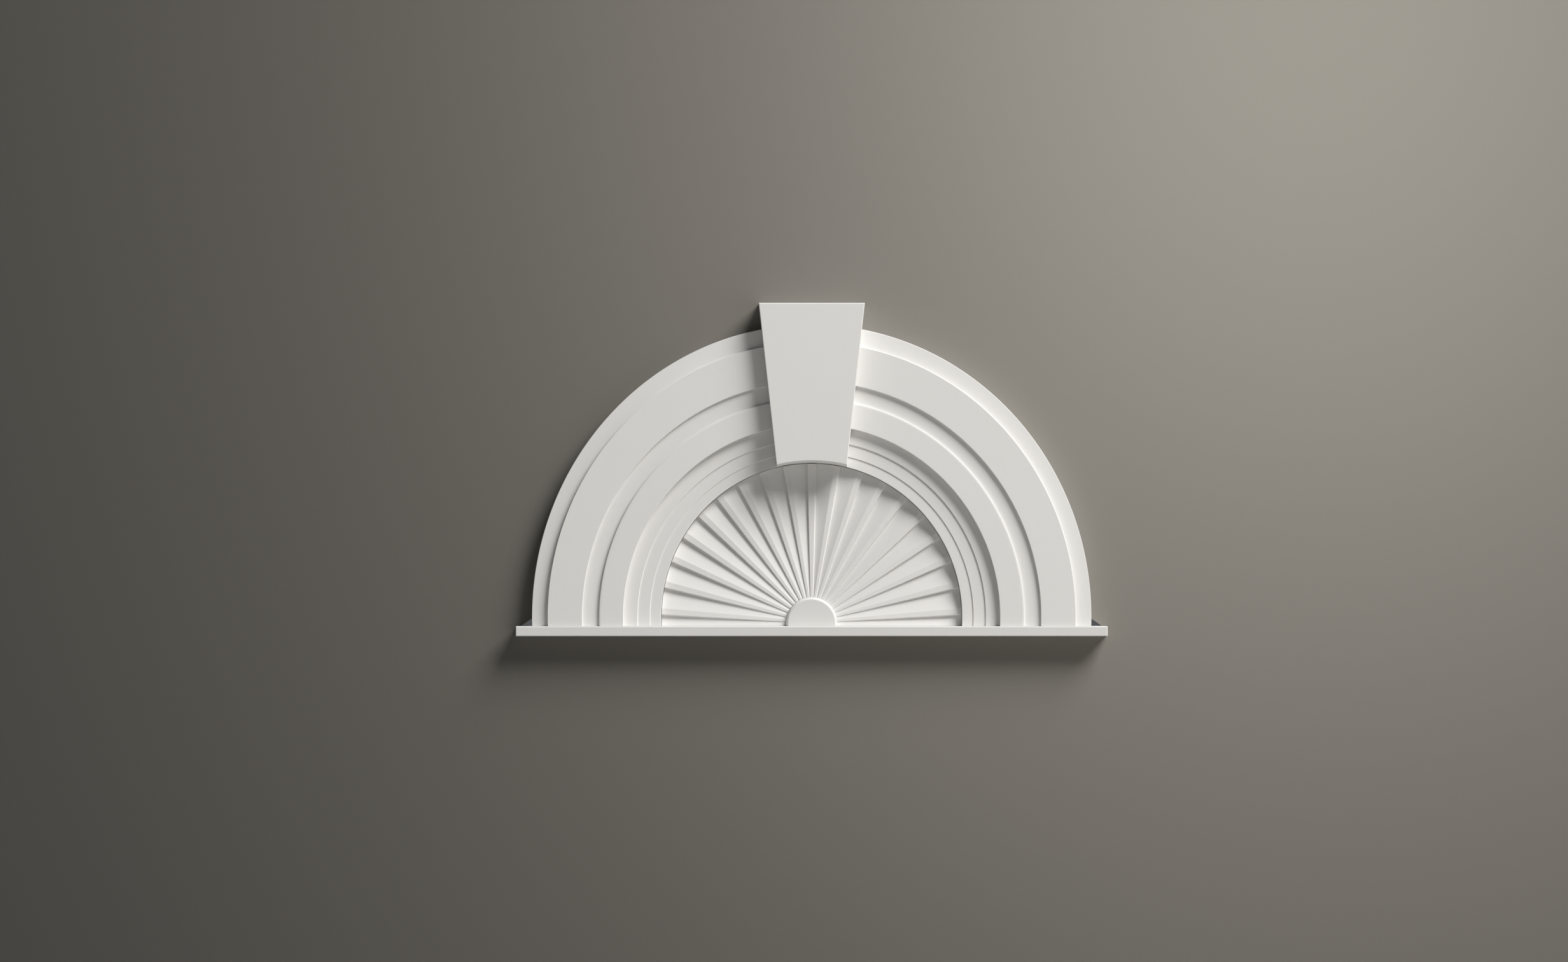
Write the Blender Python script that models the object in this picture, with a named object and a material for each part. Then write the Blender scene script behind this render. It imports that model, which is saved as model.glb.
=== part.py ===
"""Half-round sunburst pediment, fixed to the wall above a door or a window.

Six pieces: two arch halves, the keystone between them, the sunburst panel in the opening,
its hub, and the ledge that all of them stand on.

X runs along the ledge and Z is up. The wall is the plane Y = 0 and the pediment stands out of
it towards -Y, so a depth is a distance from the wall. The origin is the middle of the ledge's
back face. Heights without another note are measured from the top of the ledge.
"""

import math

import bmesh
import bpy
import numpy as np

# Clearance between pieces that touch
GAP = 0.0003

# Ledge
LEDGE_HEIGHT = 0.0203
LEDGE_DEPTH = 0.052
LEDGE_OVERHANG = 0.033

# Opening of the arch, half an ellipse
OPENING_HALF_WIDTH = 0.3103
OPENING_RISE = 0.3173
ARCH_CENTRE_HEIGHT = 0.0190

# Widths of the arch's mouldings, from the opening outwards, at the foot and at the crown
BAND_C_FOOT_WIDTH = 0.0229
BAND_C_CROWN_WIDTH = 0.0213
BAND_B_FOOT_WIDTH = 0.0254
BAND_B_CROWN_WIDTH = 0.0255
BAND_A_FOOT_WIDTH = 0.0293
BAND_A_CROWN_WIDTH = 0.0324
INNER_FASCIA_FOOT_WIDTH = 0.0497
INNER_FASCIA_CROWN_WIDTH = 0.0529
COVE_FOOT_WIDTH = 0.0348
COVE_CROWN_WIDTH = 0.0354
OUTER_FASCIA_FOOT_WIDTH = 0.0714
OUTER_FASCIA_CROWN_WIDTH = 0.0812
BRIM_FOOT_WIDTH = 0.0327
BRIM_CROWN_WIDTH = 0.0367

# Depths of the arch's mouldings from the wall
BAND_C_DEPTH = 0.0265
BAND_B_DEPTH = 0.0283
BAND_A_DEPTH = 0.0310
INNER_FASCIA_DEPTH = 0.0445
COVE_DEPTH = 0.0385
OUTER_FASCIA_DEPTH = 0.0460
BRIM_DEPTH = 0.0375
RIM_DEPTH = 0.0345

# Cove, which bends in beside the inner fascia and rises a little towards the outer one
COVE_BEND_WIDTH = 0.0070
COVE_BEND_DROP = 0.0006
COVE_RISE = 0.0010

# Hollow of the brim's slope, and the softened front edges
BRIM_SAG = 0.0003
ARRIS = 0.0012
EASED_WIDTH = 0.0030
EASED_DROP = 0.0005

# Keystone
KEYSTONE_TOP_WIDTH = 0.2184
KEYSTONE_FOOT_WIDTH = 0.1459
KEYSTONE_RISE = 0.0440
KEYSTONE_DEPTH = 0.079
KEYSTONE_UNDERCUT = 0.0045

# Sunburst panel, let into a rebate behind the opening's edge, with a narrow gap in front of it
REBATE_WIDTH = 0.0080
FLANGE_DEPTH = 0.0040
PANEL_EDGE_GAP = 0.0010
RAY_DEPTH = 0.0140
RAY_DROP = 0.0080
WEDGE_SAG = 0.0006
RAY_HUB_WIDTH = 0.0046
RAY_RIM_WIDTH = 0.0127
RAY_WALL_HUB_DRAFT = 0.0008
RAY_WALL_RIM_DRAFT = 0.0016
CENTRE_RIB_HUB_WIDTH = 0.0053
CENTRE_RIB_RIM_WIDTH = 0.0170

# Rays on each side of the centre rib, as turns from the vertical to each ray's lower wall
RAYS_PER_SIDE = 9
FIRST_RAY_TURN = math.radians(10.35)
FIRST_RAY_STEP = math.radians(8.75)
RAY_STEP_GROWTH = math.radians(0.229)

# Hub of the sunburst
HUB_RADIUS = 0.0530
HUB_HEIGHT = 0.0066
HUB_DEPTH = 0.0240
HUB_EDGE_WIDTH = 0.0060
HUB_EDGE_DEPTH = 0.0080

# Number of facets along the curved forms
ARCH_FACETS = 36
COVE_BEND_FACETS = 3
COVE_FLOOR_FACETS = 3
BRIM_FACETS = 3
WEDGE_FACETS = 3
HUB_FACETS = 40
HUB_EDGE_FACETS = 4
SOFFIT_FACETS = 12

# Finish
OFF_WHITE = (0.80, 0.79, 0.76, 1.0)
ROUGHNESS = 0.55
SMOOTHED_BELOW = math.radians(25)

# Rings between the mouldings, from the opening out to the rim, as half-width and rise
FOOT_WIDTHS = [
    BAND_C_FOOT_WIDTH,
    BAND_B_FOOT_WIDTH,
    BAND_A_FOOT_WIDTH,
    INNER_FASCIA_FOOT_WIDTH,
    COVE_FOOT_WIDTH,
    OUTER_FASCIA_FOOT_WIDTH,
    BRIM_FOOT_WIDTH,
]
CROWN_WIDTHS = [
    BAND_C_CROWN_WIDTH,
    BAND_B_CROWN_WIDTH,
    BAND_A_CROWN_WIDTH,
    INNER_FASCIA_CROWN_WIDTH,
    COVE_CROWN_WIDTH,
    OUTER_FASCIA_CROWN_WIDTH,
    BRIM_CROWN_WIDTH,
]
HALF_WIDTHS = OPENING_HALF_WIDTH + np.cumsum([0.0] + FOOT_WIDTHS)
RISES = OPENING_RISE + np.cumsum([0.0] + CROWN_WIDTHS)
RINGS = np.column_stack([HALF_WIDTHS, RISES])
OPENING, BAND_C, BAND_B, BAND_A, INNER_FASCIA, COVE, OUTER_FASCIA, RIM = RINGS

# Heights and widths that follow from the sizes above
LEDGE_TOP = LEDGE_HEIGHT / 2
LEDGE_HALF_WIDTH = RIM[0] + LEDGE_OVERHANG
OPENING_CROWN = ARCH_CENTRE_HEIGHT + OPENING[1]
KEYSTONE_TOP = ARCH_CENTRE_HEIGHT + RIM[1] + KEYSTONE_RISE
KEYSTONE_SPLAY = (KEYSTONE_TOP_WIDTH - KEYSTONE_FOOT_WIDTH) / 2 / (KEYSTONE_TOP - OPENING_CROWN)
REBATE_DEPTH = FLANGE_DEPTH + GAP


def keystone_crossing(rings, beside):
    """Angle on each ring where it meets a line parallel to the keystone's side.

    The line is x = foot + splay * (z - crown), moved out by beside. With the ring at
    x = a cos t and z = centre + b sin t, a cos t - splay * b sin t is a constant, which is a
    cosine of t turned by atan2(splay * b, a).
    """
    half_width, rise = rings[..., 0], rings[..., 1]
    foot = KEYSTONE_FOOT_WIDTH / 2 + beside * math.hypot(1, KEYSTONE_SPLAY)
    constant = foot + KEYSTONE_SPLAY * (ARCH_CENTRE_HEIGHT - OPENING_CROWN)
    turned = np.arctan2(KEYSTONE_SPLAY * rise, half_width)
    reach = np.hypot(half_width, KEYSTONE_SPLAY * rise)
    return np.arccos(constant / reach) - turned


def ledge_crossing(rings):
    """Angle on each ring where it meets the top of the ledge, one gap above it."""
    return np.arcsin((GAP - ARCH_CENTRE_HEIGHT) / rings[..., 1])


def new_piece(name, verts, faces, height):
    """Makes a closed mesh object with its own off-white material, height above the origin."""
    mesh = bpy.data.meshes.new(name)
    mesh.from_pydata([tuple(map(float, v)) for v in verts], [], faces)
    shape = bmesh.new()
    shape.from_mesh(mesh)
    bmesh.ops.recalc_face_normals(shape, faces=shape.faces)
    shape.to_mesh(mesh)
    shape.free()
    mesh.shade_smooth()
    mesh.set_sharp_from_angle(angle=SMOOTHED_BELOW)

    material = bpy.data.materials.new(name)
    material.use_nodes = True
    surface = material.node_tree.nodes["Principled BSDF"]
    surface.inputs["Base Color"].default_value = OFF_WHITE
    surface.inputs["Roughness"].default_value = ROUGHNESS
    surface.inputs["Metallic"].default_value = 0.0
    mesh.materials.append(material)

    piece = bpy.data.objects.new(name, mesh)
    bpy.context.scene.collection.objects.link(piece)
    piece.location = (0, 0, height)
    return piece


def bridge(sections, capped):
    """Joins equal closed sections in order with four-sided faces, and caps the two ends."""
    count, size = sections.shape[:2]
    faces = []
    for row in range(count - 1):
        for column in range(size):
            beside = (column + 1) % size
            here = row * size
            there = here + size
            faces.append((here + column, here + beside, there + beside, there + column))
    if capped:
        faces.append(tuple(range(size)))
        faces.append(tuple((count - 1) * size + column for column in range(size)))
    return sections.reshape(-1, 3), faces


def between(inner_ring, outer_ring, across, depth):
    """Rows of half-width, rise and depth, across being the half-width from the inner ring."""
    share = across / (outer_ring[0] - inner_ring[0])
    rings = inner_ring + np.outer(share, outer_ring - inner_ring)
    return np.column_stack([rings, depth])


def cove():
    """Rows along the cove: a quarter of an ellipse, then a floor that rises as a parabola."""
    turn = np.linspace(0, math.pi / 2, COVE_BEND_FACETS + 1)
    share = np.linspace(0, 1, COVE_FLOOR_FACETS + 1)[1:]
    floor_width = COVE[0] - INNER_FASCIA[0] - COVE_BEND_WIDTH
    across = np.append(COVE_BEND_WIDTH * (1 - np.cos(turn)), COVE_BEND_WIDTH + floor_width * share)
    rise = np.append(COVE_BEND_DROP * (1 - np.sin(turn)), COVE_RISE * share**2)
    return between(INNER_FASCIA, COVE, across, COVE_DEPTH + rise)


def brim():
    """Rows along the brim, a slope that sags by 4 * sag * share * (1 - share)."""
    share = np.linspace(0, 1, BRIM_FACETS + 1)
    across = (RIM[0] - OUTER_FASCIA[0]) * share
    slope = BRIM_DEPTH + (RIM_DEPTH - BRIM_DEPTH) * share
    return between(OUTER_FASCIA, RIM, across, slope - 4 * BRIM_SAG * share * (1 - share))


def arch_profile():
    """Closed section of the arch, as rows of half-width, rise and depth, from the opening out."""
    rebate = OPENING + REBATE_WIDTH
    rows = [
        (*rebate, 0.0),
        (*rebate, REBATE_DEPTH),
        (*OPENING, REBATE_DEPTH),
        (*OPENING, BAND_C_DEPTH - ARRIS),
        (*(OPENING + ARRIS), BAND_C_DEPTH),
        (*BAND_C, BAND_C_DEPTH),
        (*BAND_C, BAND_B_DEPTH),
        (*BAND_B, BAND_B_DEPTH),
        (*BAND_B, BAND_A_DEPTH),
        (*BAND_A, BAND_A_DEPTH),
        (*BAND_A, INNER_FASCIA_DEPTH - ARRIS),
        (*(BAND_A + ARRIS), INNER_FASCIA_DEPTH),
        (*(INNER_FASCIA - EASED_WIDTH), INNER_FASCIA_DEPTH),
        (*INNER_FASCIA, INNER_FASCIA_DEPTH - EASED_DROP),
        *cove(),
        (*COVE, OUTER_FASCIA_DEPTH - ARRIS),
        (*(COVE + ARRIS), OUTER_FASCIA_DEPTH),
        (*OUTER_FASCIA, OUTER_FASCIA_DEPTH),
        *brim(),
        (*RIM, 0.0),
    ]
    return np.array(rows)


def make_arch_half(name, side):
    """One half of the arch: its section carried along ellipses, cut flat at both ends.

    Each point of the section follows its own ellipse from the ledge up to the keystone's
    side, x = a cos t and z = centre + b sin t, with t shared out evenly between the ends.
    """
    profile = arch_profile()
    rings, depth = profile[:, :2], profile[:, 2]
    first = ledge_crossing(rings)
    last = keystone_crossing(rings, GAP)
    share = np.linspace(0, 1, ARCH_FACETS + 1)[:, None]
    turn = first + (last - first) * share
    sections = np.empty((ARCH_FACETS + 1, len(profile), 3))
    sections[..., 0] = side * rings[:, 0] * np.cos(turn)
    sections[..., 1] = -depth
    sections[..., 2] = ARCH_CENTRE_HEIGHT + rings[:, 1] * np.sin(turn)
    return new_piece(name, *bridge(sections, capped=True), LEDGE_TOP)


def keystone_outline(soffit, depth, inset):
    """Outline of the keystone at one depth: a splayed block with a hollow curved underside."""
    corner = float(keystone_crossing(soffit, -inset))
    turn = np.linspace(corner, math.pi - corner, SOFFIT_FACETS + 1)
    top = KEYSTONE_TOP - inset
    reach = KEYSTONE_FOOT_WIDTH / 2 + KEYSTONE_SPLAY * (top - OPENING_CROWN)
    reach -= inset * math.hypot(1, KEYSTONE_SPLAY)
    across = np.concatenate([[reach], soffit[0] * np.cos(turn), [-reach]])
    up = np.concatenate([[top], ARCH_CENTRE_HEIGHT + soffit[1] * np.sin(turn), [top]])
    return np.column_stack([across, np.full(len(across), -depth), up])


def make_keystone(name):
    """Keystone: outlines from the wall to the front, rebated for the panel and undercut."""
    front_soffit = OPENING + KEYSTONE_UNDERCUT
    sections = np.array([
        keystone_outline(OPENING + REBATE_WIDTH, 0.0, 0.0),
        keystone_outline(OPENING + REBATE_WIDTH, REBATE_DEPTH, 0.0),
        keystone_outline(OPENING, REBATE_DEPTH, 0.0),
        keystone_outline(front_soffit, KEYSTONE_DEPTH - ARRIS, 0.0),
        keystone_outline(front_soffit + ARRIS, KEYSTONE_DEPTH, ARRIS),
    ])
    return new_piece(name, *bridge(sections, capped=True), LEDGE_TOP)


def ring_point(rings, turn):
    """Where a line from the hub's centre, turned from the vertical, meets an ellipse."""
    half_width, rise = rings
    across, up = np.sin(turn), np.cos(turn)
    below = HUB_HEIGHT - ARCH_CENTRE_HEIGHT
    square = (across / half_width) ** 2 + (up / rise) ** 2
    middle = below * up / rise**2
    rest = (below / rise) ** 2 - 1
    return (-middle + np.sqrt(middle**2 - square * rest)) / square


def ray_lines():
    """Lines over one half of the fan, from the ledge up to the centre rib.

    Each row is the turn and depth at the hub and the turn and depth at the opening. A ray is
    a flat strip of constant depth with a steep lower wall. From its upper edge a wedge falls
    away to the foot of the next ray's wall, by RAY_DROP at the opening and in proportion to
    the radius elsewhere. It sags between them by 4 * WEDGE_SAG * share * (1 - share).
    """
    seat = HUB_RADIUS + GAP
    edge = OPENING - PANEL_EDGE_GAP

    def foot(top_line):
        reach = ring_point(edge, top_line[2])
        depths = RAY_DEPTH - RAY_DROP * np.array([seat, reach]) / OPENING_HALF_WIDTH
        return np.array([top_line[0] + RAY_WALL_HUB_DRAFT / seat, depths[0],
                         top_line[2] + RAY_WALL_RIM_DRAFT / reach, depths[1]])

    def moved(turn, hub_width, rim_width):
        reach = ring_point(edge, turn)
        return np.array([turn + hub_width / seat, RAY_DEPTH, turn + rim_width / reach, RAY_DEPTH])

    number = np.arange(RAYS_PER_SIDE + 1)
    turns = FIRST_RAY_TURN + number * FIRST_RAY_STEP + number * (number - 1) / 2 * RAY_STEP_GROWTH
    walls = [moved(0.0, CENTRE_RIB_HUB_WIDTH / 2, CENTRE_RIB_RIM_WIDTH / 2)]
    walls += [moved(turn, 0.0, 0.0) for turn in turns]
    uppers = [moved(turn, -RAY_HUB_WIDTH, -RAY_RIM_WIDTH) for turn in turns]

    lowest = foot(walls[-2])
    beyond = uppers[-1]
    drop = HUB_HEIGHT - GAP
    ledge = np.array([math.pi / 2 + math.asin(drop / seat), 0.0,
                      math.pi / 2 + math.asin(drop / edge[0]), 0.0])
    for at in (0, 2):
        share = min(1.0, (ledge[at] - lowest[at]) / (beyond[at] - lowest[at]))
        ledge[at + 1] = lowest[at + 1] + (beyond[at + 1] - lowest[at + 1]) * share

    lines = [ledge]
    wedge = np.arange(WEDGE_FACETS)[:, None] / WEDGE_FACETS
    sag = 4 * WEDGE_SAG / RAY_DROP * wedge * (1 - wedge) * [0, 1, 0, 1]
    for index in range(RAYS_PER_SIDE - 1, -1, -1):
        wall = walls[index + 1]
        start = uppers[index]
        end = foot(walls[index])
        lines += [foot(wall), wall, *(start + (end - start) * (wedge + sag))]
    lines += [foot(walls[0]), walls[0]]
    return np.array(lines)


def make_sunburst_panel(name):
    """Half-round panel with the rays standing out of it, and a thin flange round its edge."""
    half = ray_lines()
    mirrored = half[::-1] * [-1, 1, -1, 1]
    lines = np.concatenate([half, mirrored])
    hub_turn, hub_depth, rim_turn, rim_depth = lines.T
    seat = HUB_RADIUS + GAP
    edge = ring_point(OPENING - PANEL_EDGE_GAP, rim_turn)
    flange = ring_point(OPENING + REBATE_WIDTH - GAP, rim_turn)
    thin = np.full(len(lines), FLANGE_DEPTH)
    wall = np.zeros(len(lines))
    corners = [
        (np.full(len(lines), seat), hub_turn, wall),
        (np.full(len(lines), seat), hub_turn, hub_depth),
        (edge, rim_turn, rim_depth),
        (edge, rim_turn, thin),
        (flange, rim_turn, thin),
        (flange, rim_turn, wall),
    ]
    sections = np.empty((len(lines), len(corners), 3))
    for column, (radius, turn, depth) in enumerate(corners):
        sections[:, column, 0] = radius * np.sin(turn)
        sections[:, column, 1] = -depth
        sections[:, column, 2] = HUB_HEIGHT + radius * np.cos(turn)
    rings = np.array([OPENING - PANEL_EDGE_GAP] * 2 + [OPENING + REBATE_WIDTH - GAP] * 2)
    reach = rings[:, 0] * np.cos(ledge_crossing(rings))
    for end, side in ((0, 1), (-1, -1)):
        sections[end, 2:, 0] = side * reach
        sections[end, :, 2] = GAP
    return new_piece(name, *bridge(sections, capped=True), LEDGE_TOP)


def make_hub(name):
    """Hub: a disc with a rounded front edge, cut flat where it meets the ledge.

    Each ring turns from the ledge on one side over the top to the ledge on the other, and
    the front edge is a quarter of an ellipse.
    """
    bend = np.linspace(0, math.pi / 2, HUB_EDGE_FACETS + 1)
    radius = np.append(HUB_RADIUS, HUB_RADIUS - HUB_EDGE_WIDTH * (1 - np.cos(bend)))
    depth = np.append(0.0, HUB_DEPTH - HUB_EDGE_DEPTH * (1 - np.sin(bend)))
    start = np.arcsin((GAP - HUB_HEIGHT) / radius)
    share = np.linspace(0, 1, HUB_FACETS + 1)[:, None]
    turn = start + (math.pi - 2 * start) * share
    rings = np.empty((len(radius), HUB_FACETS + 1, 3))
    rings[..., 0] = (radius * np.cos(turn)).T
    rings[..., 1] = -depth[:, None]
    rings[..., 2] = (radius * np.sin(turn)).T
    return new_piece(name, *bridge(rings, capped=True), LEDGE_TOP + HUB_HEIGHT)


def make_ledge(name):
    """Ledge: a board that stands out farther than the arch, with softened front edges."""
    corners = np.array([(-1, -1), (1, -1), (1, 1), (-1, 1)])
    sections = []
    for depth, inset in ((0.0, 0.0), (LEDGE_DEPTH - ARRIS, 0.0), (LEDGE_DEPTH, ARRIS)):
        across = corners[:, 0] * (LEDGE_HALF_WIDTH - inset)
        up = corners[:, 1] * (LEDGE_HEIGHT / 2 - inset)
        sections.append(np.column_stack([across, np.full(4, -depth), up]))
    return new_piece(name, *bridge(np.array(sections), capped=True), 0.0)


def main():
    for old in list(bpy.data.objects):
        bpy.data.objects.remove(old, do_unlink=True)
    frame = bpy.data.objects.new("pediment", None)
    bpy.context.scene.collection.objects.link(frame)
    pieces = [
        make_arch_half("arch_left", -1),
        make_arch_half("arch_right", 1),
        make_keystone("keystone"),
        make_sunburst_panel("sunburst_panel"),
        make_hub("sunburst_hub"),
        make_ledge("base_ledge"),
    ]
    for piece in pieces:
        piece.parent = frame


main()
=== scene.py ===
"""Dresses the half-round sunburst pediment: fine surfaces and a matte paint on every piece."""

import math

import bpy
import numpy as np
from bpy.props import FloatProperty, FloatVectorProperty, IntProperty, PointerProperty
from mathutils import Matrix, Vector


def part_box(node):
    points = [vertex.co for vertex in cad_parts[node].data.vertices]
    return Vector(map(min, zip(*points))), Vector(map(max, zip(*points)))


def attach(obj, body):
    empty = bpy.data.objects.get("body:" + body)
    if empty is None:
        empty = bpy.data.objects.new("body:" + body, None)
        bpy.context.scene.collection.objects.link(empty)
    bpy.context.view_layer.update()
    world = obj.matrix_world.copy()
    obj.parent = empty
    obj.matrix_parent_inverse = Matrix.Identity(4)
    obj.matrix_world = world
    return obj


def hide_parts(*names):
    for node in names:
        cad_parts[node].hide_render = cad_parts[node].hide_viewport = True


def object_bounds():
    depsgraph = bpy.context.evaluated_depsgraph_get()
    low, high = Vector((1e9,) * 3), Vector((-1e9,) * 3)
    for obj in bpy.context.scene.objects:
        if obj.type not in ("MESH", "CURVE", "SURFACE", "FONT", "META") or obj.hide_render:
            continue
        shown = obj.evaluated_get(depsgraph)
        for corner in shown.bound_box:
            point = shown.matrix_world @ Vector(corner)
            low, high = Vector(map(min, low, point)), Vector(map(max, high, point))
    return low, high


bl_info = {
    "name": "Sunburst Pediment",
    "version": (1, 0, 0),
    "blender": (4, 5, 0),
    "location": "View3D > Sidebar > Pediment",
    "description": "Makes the pieces of a half-round sunburst pediment and a plain studio",
    "category": "Add Mesh",
}

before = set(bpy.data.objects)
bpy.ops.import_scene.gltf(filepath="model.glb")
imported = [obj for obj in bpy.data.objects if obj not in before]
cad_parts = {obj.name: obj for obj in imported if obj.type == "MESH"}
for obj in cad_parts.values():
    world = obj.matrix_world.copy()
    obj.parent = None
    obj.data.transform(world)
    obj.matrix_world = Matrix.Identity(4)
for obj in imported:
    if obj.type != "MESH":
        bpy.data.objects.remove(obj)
CAD_LOW, CAD_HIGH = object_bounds()
LEDGE_LOW, LEDGE_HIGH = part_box("base_ledge")
KEYSTONE_LOW, KEYSTONE_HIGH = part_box("keystone")
HUB_LOW, HUB_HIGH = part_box("sunburst_hub")
PANEL_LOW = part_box("sunburst_panel")[0]

BODY = "root"

# Clearance between pieces that touch
GAP = 0.0003

# Fineness of the surfaces
ARCH_STEPS = 240
COVE_STEPS = 14
RAY_STEPS = 28
WEDGE_STEPS = 8
SOFFIT_STEPS = 48
HUB_STEPS = 128
HUB_EDGE_STEPS = 11
FRONT_EDGE_STEPS = 5
BEND_STEPS = 4
WINDOW_STEPS = 39
SHARP_ANGLE = math.radians(35)

# Softened corners: the largest share of a side that a bend takes up, how far out the lines lie
# that keep the flats beside a bend, a front edge and the hub's edge flat, as shares of its reach,
# and the reach of the ledge's corners as a share of its arris
BEND_LIMIT = 0.42
BEND_GUARD = 1.18
FRONT_EDGE_GUARD = 1.3
HUB_EDGE_GUARD = 1.1
LEDGE_CORNER_SHARE = 0.7

# Paint: features a metre in each texture, how strongly they act, how far from the wall the bare
# back reaches, and the painted shade of two pieces, which are darker copies of the same paint
CLOUD_SCALE = 5.0
SPECK_SCALE = 260.0
CLOUD_SHARE = 0.75
MOTTLE_SHADE = (0.93, 0.915, 0.89)
MOTTLE_AMOUNT = 0.55
ROUGHNESS_SPREAD = 0.16
PEEL_SCALE = 420.0
WAVE_SCALE = 25.2
WAVE_HEIGHT = 2.5
PORE_SCALE = 550.0
PORE_SHADE = 0.8
PORE_HEIGHT = 6.0
BACK_MARGIN = 0.00005
# Painted shade: the hub's and the ledge's paint is the same paint made darker, standing in for
# shade
HUB_PAINTED_SHADE = 0.96
LEDGE_PAINTED_SHADE = 0.94

# Floor and backdrop
STUDIO_HALF_WIDTH = 7.0
BACKDROP_TOP = 4.0
BACKDROP_GAP = 0.001
WINDOW_INSET = 0.004
FLOOR_GRAIN = 0.03
FLOOR_GRAIN_SCALE = 3.0
FLOOR_ROUGHNESS = 0.9
BACKDROP_ROUGHNESS = 0.95

# Centre and reach of the backdrop's painted pool of light, sideways and upwards, and how fast it
# fades
LIGHT_POOL_ACROSS = (0.936, 1.152)
LIGHT_POOL_UP = (1.182, 1.429)
LIGHT_POOL_POWER = 0.74

# Lights, each a disc at a distance from the pediment's middle, and the fill from all round
KEY_DIRECTION = Vector((1.22, -1.0, 1.68))
KEY_DISTANCE = 12.0
KEY_WIDTH = 6.5
KEY_COLOUR = (1.0, 0.985, 0.96)
REAR_DIRECTION = Vector((-0.5, 1.0, 0.7))
REAR_DISTANCE = 6.0
REAR_WIDTH = 3.0
REAR_SHARE = 0.16
REAR_COLOUR = (1.0, 0.985, 0.97)
FILL_COLOUR = (0.93, 0.96, 1.0, 1.0)

# Camera: the photo in pixels, where the object lies in it, the size of a pixel at the plane where
# it holds, the lens and sensor in millimetres, and how far the camera sees
PHOTO_SIZE = (2464, 1512)
PHOTO_OBJECT_CENTRE = 1275.5
PHOTO_LEDGE_BOTTOM = 1000.0
METRES_PER_PIXEL = 0.0013103
CAMERA_LENS = 180.0
SENSOR_WIDTH = 36.0
SCALE_PLANE = -0.050
CAMERA_REACH = 60.0


# Properties


class PedimentArchSizes(bpy.types.PropertyGroup):
    """Sizes of the arch and its mouldings"""

    opening: FloatVectorProperty(
        name="Opening", description="Half-width and rise of the opening's ellipse",
        size=2, default=(0.3103, 0.3173), unit="LENGTH", precision=4)
    centre_height: FloatProperty(
        name="Centre Height", description="Height of the ellipses' centre above the ledge",
        default=0.0190, unit="LENGTH", precision=4)
    foot_widths: FloatVectorProperty(
        name="Foot Widths", description="Widths at the foot of bands C, B and A, the inner fascia, "
        "the cove, the outer fascia and the brim",
        size=7, default=(0.0229, 0.0254, 0.0293, 0.0497, 0.0348, 0.0714, 0.0327),
        unit="LENGTH", precision=4)
    crown_widths: FloatVectorProperty(
        name="Crown Widths", description="Widths of the same mouldings at the crown",
        size=7, default=(0.0213, 0.0255, 0.0324, 0.0529, 0.0354, 0.0812, 0.0367),
        unit="LENGTH", precision=4)
    band_depths: FloatVectorProperty(
        name="Band Depths", description="Depths of bands C, B and A from the wall",
        size=3, default=(0.0265, 0.0283, 0.0310), unit="LENGTH", precision=4)
    inner_fascia_depth: FloatProperty(
        name="Inner Fascia Depth", description="Depth of the inner fascia from the wall",
        default=0.0445, unit="LENGTH", precision=4)
    cove_depth: FloatProperty(
        name="Cove Depth", description="Depth of the cove's lowest line from the wall",
        default=0.0385, unit="LENGTH", precision=4)
    cove_bend: FloatVectorProperty(
        name="Cove Bend", description="Width and drop of the cove's curve beside the inner fascia",
        size=2, default=(0.0070, 0.0006), unit="LENGTH", precision=4)
    cove_rise: FloatProperty(
        name="Cove Rise", description="How much the cove rises towards the outer fascia",
        default=0.0010, unit="LENGTH", precision=4)
    outer_fascia_depth: FloatProperty(
        name="Outer Fascia Depth", description="Depth of the outer fascia from the wall",
        default=0.0460, unit="LENGTH", precision=4)
    brim_depth: FloatProperty(
        name="Brim Depth", description="Depth of the brim where it meets the outer fascia",
        default=0.0375, unit="LENGTH", precision=4)
    rim_depth: FloatProperty(
        name="Rim Depth", description="Thickness of the arch at its rim",
        default=0.0345, unit="LENGTH", precision=4)
    brim_sag: FloatProperty(
        name="Brim Sag", description="How far the brim's middle lies behind a straight slope",
        default=0.0003, unit="LENGTH", precision=4)
    arris: FloatProperty(
        name="Arris", description="How far the softening of a projecting edge reaches",
        default=0.0012, unit="LENGTH", precision=4)
    eased_edge: FloatVectorProperty(
        name="Eased Edge", description="Width and drop of the inner fascia's eased outer edge",
        size=2, default=(0.0030, 0.0005), unit="LENGTH", precision=4)
    crease: FloatProperty(
        name="Crease", description="How far the softening of an inner or crisp corner reaches",
        default=0.0005, unit="LENGTH", precision=4)


class PedimentKeystoneSizes(bpy.types.PropertyGroup):
    """Sizes of the keystone"""

    foot_width: FloatProperty(
        name="Foot Width", description="Width of the keystone at the crown of the opening",
        default=0.1459, unit="LENGTH", precision=4)
    undercut: FloatProperty(
        name="Undercut", description="How much the underside rises towards the front",
        default=0.0045, unit="LENGTH", precision=4)
    arris: FloatProperty(
        name="Arris", description="How far the softening of the front edges reaches",
        default=0.0018, unit="LENGTH", precision=4)


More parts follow.
